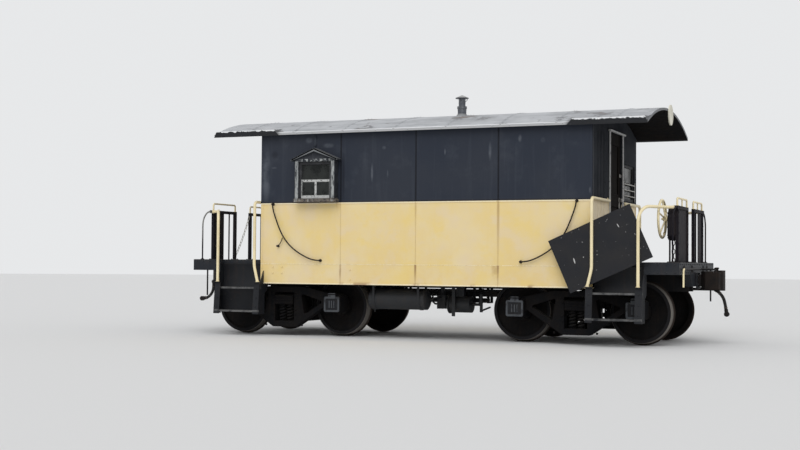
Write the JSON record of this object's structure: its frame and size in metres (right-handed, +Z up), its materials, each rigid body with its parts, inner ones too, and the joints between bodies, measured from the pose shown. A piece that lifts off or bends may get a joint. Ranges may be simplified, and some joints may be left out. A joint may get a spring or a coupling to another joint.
{
  "type": "railway caboose",
  "caption": "Short four-axle railway caboose: yellow and black steel cabin, open end platforms with steps and railings, arched roof, stove pipe, swivelling trucks.",
  "frame": {"origin": "middle of the car, on the plane through the lowest points of the wheel flanges", "axes": "+X along the car towards the end with the brake wheel, -Y towards the side seen in the picture, +Z up"},
  "size_m": [8.2535, 2.9, 3.6199],
  "materials": {
    "side_yellow": "weathered cream-yellow paint on sheet steel",
    "side_black": "weathered blue-black paint on sheet steel",
    "door_black": "weathered black paint",
    "roof_silver": "aluminium paint, patchy",
    "stove_pipe": "sooty galvanised sheet",
    "window_trim": "weathered grey-white paint on wood",
    "window_glass": "dusty glass",
    "handrail_cream": "cream gloss paint on pipe",
    "railing_black": "black paint on steel",
    "underframe_black": "black paint, dusty",
    "truck_iron": "rough casting, black paint and dust",
    "wheel_steel": "dark rusty casting",
    "lid_grey": "pale grey paint on castings",
    "coupler_iron": "rusty casting",
    "chain_iron": "weathered chain",
    "hose_rubber": "matt rubber",
    "floor_wood": "worn boards",
    "board_charcoal": "charcoal paint on plywood, scratched"
  },
  "bodies": {
    "root": {"air_hose_a": "hose_rubber", "air_hose_b": "hose_rubber", "air_tank": "underframe_black", "angle_cocks": "underframe_black", "bay_window_far": "window_trim", "bay_window_near": "window_trim", "brake_cylinder": "underframe_black", "brake_stand": "railing_black", "chains": "chain_iron", "coupler_a": "coupler_iron", "coupler_b": "coupler_iron", "end_disc": "handrail_cream", "end_railing_a": "railing_black", "end_railing_b": "railing_black", "end_wall_a": "side_black", "end_wall_b": "side_black", "floor": "floor_wood", "gladhand_a": "coupler_iron", "gladhand_b": "coupler_iron", "grab_rods": "railing_black", "handrails_a": "handrail_cream", "handrails_b": "handrail_cream", "platform_a": "underframe_black", "platform_b": "underframe_black", "roof": "roof_silver", "side_lower_far": "side_yellow", "side_lower_near": "side_yellow", "side_sills": "side_yellow", "side_upper_far": "side_black", "side_upper_near": "side_black", "smoke_jack": "stove_pipe", "step_board": "board_charcoal", "steps_a": "underframe_black", "steps_b": "underframe_black", "uncoupling_levers": "underframe_black", "underframe": "underframe_black", "window_glass": "window_glass", "window_guards": "underframe_black", "window_sashes": "window_trim"},
    "truck_a": {"side_frames_a": "truck_iron", "journal_lids_a": "lid_grey", "bolster_a": "truck_iron", "springs_a": "truck_iron", "brake_beams_a": "truck_iron"},
    "wheelset_a_outer": {"wheels_a_outer": "wheel_steel", "axle_a_outer": "wheel_steel"},
    "wheelset_a_inner": {"wheels_a_inner": "wheel_steel", "axle_a_inner": "wheel_steel"},
    "door_leaf_a": {"door_a": "door_black"},
    "truck_b": {"side_frames_b": "truck_iron", "journal_lids_b": "lid_grey", "bolster_b": "truck_iron", "springs_b": "truck_iron", "brake_beams_b": "truck_iron"},
    "wheelset_b_outer": {"wheels_b_outer": "wheel_steel", "axle_b_outer": "wheel_steel"},
    "wheelset_b_inner": {"wheels_b_inner": "wheel_steel", "axle_b_inner": "wheel_steel"},
    "door_leaf_b": {"door_b": "door_black"},
    "hand_brake_wheel": {"brake_wheel": "handrail_cream"}
  },
  "joints": [
    {"name": "truck_a_swivel", "type": "hinge", "parent": "root", "child": "truck_a", "pos_m": [-2.24, 0, 0.705], "axis": [0, 0, 1], "range_deg": [-4, 4]},
    {"name": "wheelset_a_outer_roll", "type": "hinge", "parent": "truck_a", "child": "wheelset_a_outer", "pos_m": [-3.078, 0, 0.444], "axis": [0, 1, 0], "continuous": true},
    {"name": "wheelset_a_inner_roll", "type": "hinge", "parent": "truck_a", "child": "wheelset_a_inner", "pos_m": [-1.402, 0, 0.444], "axis": [0, 1, 0], "continuous": true},
    {"name": "door_a_swing", "type": "hinge", "parent": "root", "child": "door_leaf_a", "pos_m": [-2.4527, 0.34, 1.5], "axis": [0, 0, 1], "range_deg": [0, 90]},
    {"name": "truck_b_swivel", "type": "hinge", "parent": "root", "child": "truck_b", "pos_m": [2.24, 0, 0.705], "axis": [0, 0, 1], "range_deg": [-4, 4]},
    {"name": "wheelset_b_outer_roll", "type": "hinge", "parent": "truck_b", "child": "wheelset_b_outer", "pos_m": [3.078, 0, 0.444], "axis": [0, 1, 0], "continuous": true},
    {"name": "wheelset_b_inner_roll", "type": "hinge", "parent": "truck_b", "child": "wheelset_b_inner", "pos_m": [1.402, 0, 0.444], "axis": [0, 1, 0], "continuous": true},
    {"name": "door_b_swing", "type": "hinge", "parent": "root", "child": "door_leaf_b", "pos_m": [2.4527, -0.34, 1.5], "axis": [0, 0, 1], "range_deg": [0, 90]},
    {"name": "hand_brake_turn", "type": "hinge", "parent": "root", "child": "hand_brake_wheel", "pos_m": [3.405, -0.78, 1.715], "axis": [1, 0, 0], "continuous": true}
  ]
}
